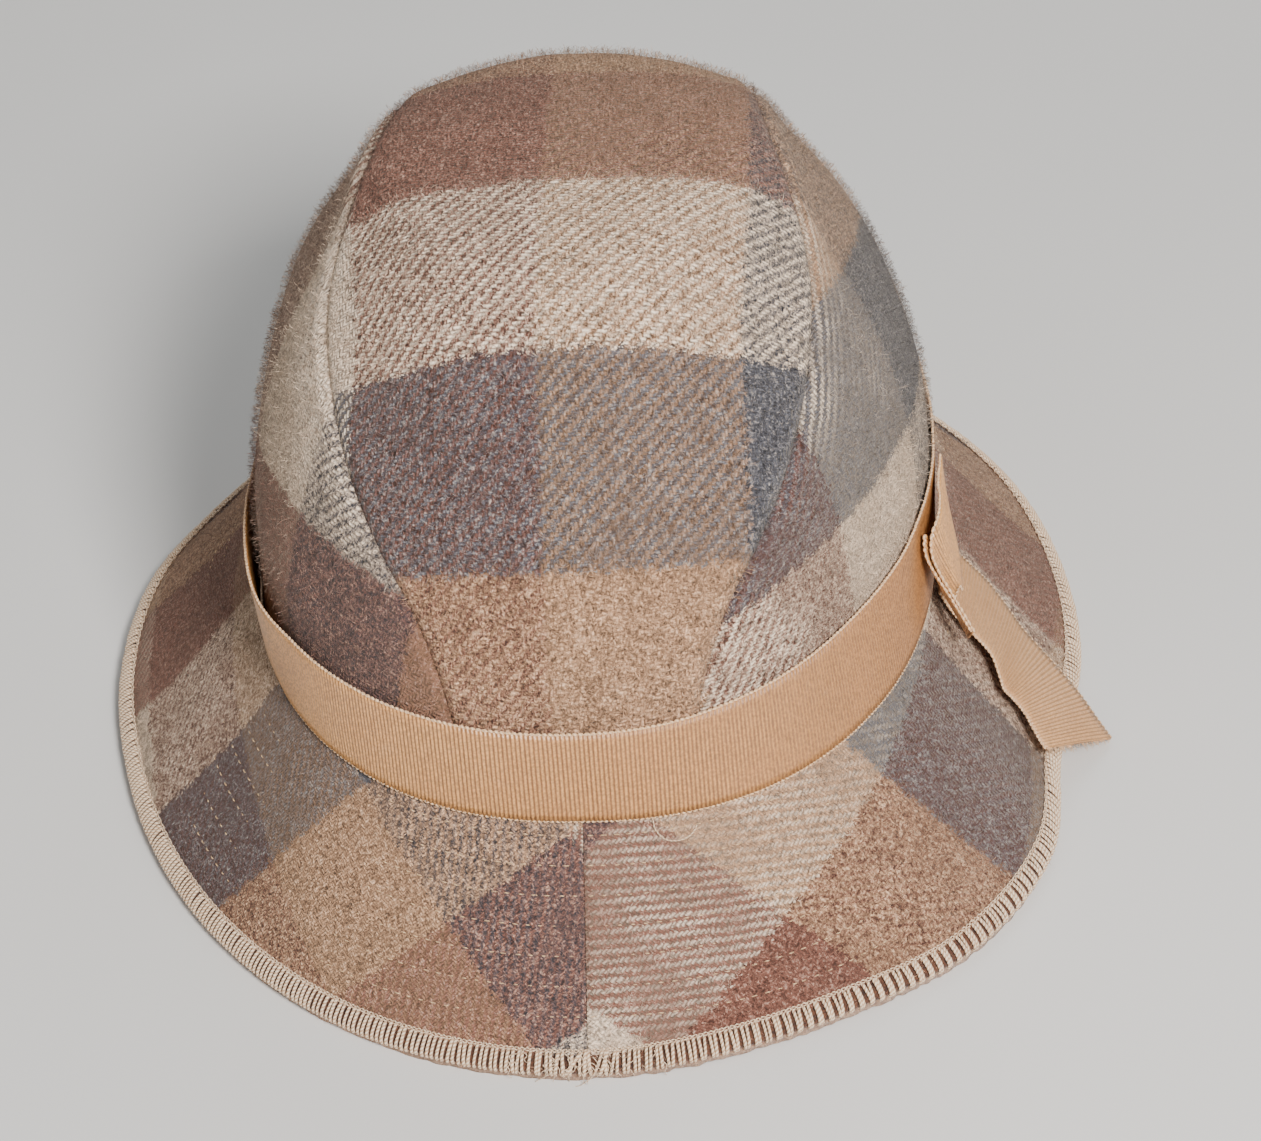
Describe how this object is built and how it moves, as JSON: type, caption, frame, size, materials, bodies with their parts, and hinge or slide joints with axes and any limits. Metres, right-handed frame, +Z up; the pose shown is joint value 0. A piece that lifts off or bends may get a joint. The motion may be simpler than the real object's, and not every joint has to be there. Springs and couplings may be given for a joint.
{
  "type": "cloche hat",
  "caption": "Cloche hat of plaid coating wool with a panelled crown, a sloping brim with an overcast edge, and a grosgrain band with a side bow.",
  "frame": {"origin": "bottom centre of the bounding box, on the surface that the brim's edge rests on", "axes": "+Z up, -Y is the front of the hat, +X is the wearer's left, where the bow is"},
  "size_m": [0.2496, 0.287, 0.1585],
  "materials": {
    "wool": "napped coating wool in a block plaid of rust, camel, blue-grey and cream, 2/2 twill",
    "thread": "spun overlock thread, slightly glossy, camel",
    "grosgrain": "ribbed grosgrain ribbon, satin, camel gold"
  },
  "bodies": {
    "root": {"crown_centre": "wool", "crown_left": "wool", "crown_right": "wool", "brim_left": "wool", "brim_right": "wool", "edge_overlock": "thread", "ribbon_band": "grosgrain", "bow_loop": "grosgrain", "bow_tail": "grosgrain"}
  },
  "joints": []
}
